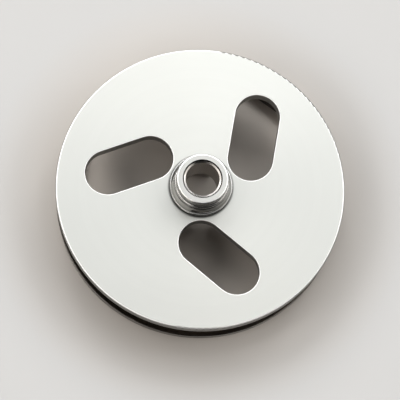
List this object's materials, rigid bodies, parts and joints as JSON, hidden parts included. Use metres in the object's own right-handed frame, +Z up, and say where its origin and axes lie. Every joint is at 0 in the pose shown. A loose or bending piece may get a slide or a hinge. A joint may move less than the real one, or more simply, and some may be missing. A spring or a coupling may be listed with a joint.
{
  "type": "film developing reel",
  "caption": "Flanged metal film developing reel: slotted upper flange with a stepped hub and lock ring, over a windowed lower flange and an open core.",
  "frame": {"origin": "centre of the lower flange's underside, on the hub's axis", "axes": "+Z up along the hub; +Y along the first slot of the upper flange"},
  "size_m": [0.095, 0.095, 0.026],
  "materials": {
    "flange_steel": "face-turned satin",
    "hub_steel": "bright turned",
    "core_steel": "satin",
    "screw_steel": "bright",
    "spring_steel": "drawn wire",
    "washer_plastic": "satin",
    "seal_rubber": "matte"
  },
  "bodies": {
    "core": {"lower_flange": "flange_steel", "core_segment_1": "core_steel", "core_segment_2": "core_steel", "core_segment_3": "core_steel", "core_plate": "core_steel", "core_sleeve": "hub_steel", "segment_base_screws": "screw_steel", "segment_top_screws": "screw_steel", "index_pins": "screw_steel", "clip_pin": "screw_steel", "clip_spring": "spring_steel"},
    "upper_half": {"upper_flange": "flange_steel", "hub_collar": "hub_steel", "collar_screws": "screw_steel", "snap_ring": "spring_steel", "thrust_washer": "washer_plastic"},
    "lock_ring": {"lock_ring": "hub_steel", "thread_seal": "seal_rubber"},
    "film_clip": {"film_clip": "core_steel", "clip_pad": "seal_rubber"}
  },
  "joints": [
    {"name": "upper_flange_rise", "type": "slide", "parent": "core", "child": "upper_half", "axis": [0, 0, 1], "range_m": [0, 0.006]},
    {"name": "lock_ring_turn", "type": "hinge", "parent": "upper_half", "child": "lock_ring", "pos_m": [0, 0, 0.0245], "axis": [0, 0, 1], "range_deg": [0, 1440]},
    {"name": "film_clip_open", "type": "hinge", "parent": "core", "child": "film_clip", "pos_m": [-0.00723, 0.00585, 0.0068], "axis": [0, 0, -1], "range_deg": [0, 25], "stiffness_Nm_per_rad": 0.004, "springref_deg": -20.05, "deforming": ["clip_spring"]}
  ],
  "couplings": [
    {"joint": "lock_ring_turn", "follows": "upper_flange_rise", "rad_per_m": 4188.8}
  ]
}
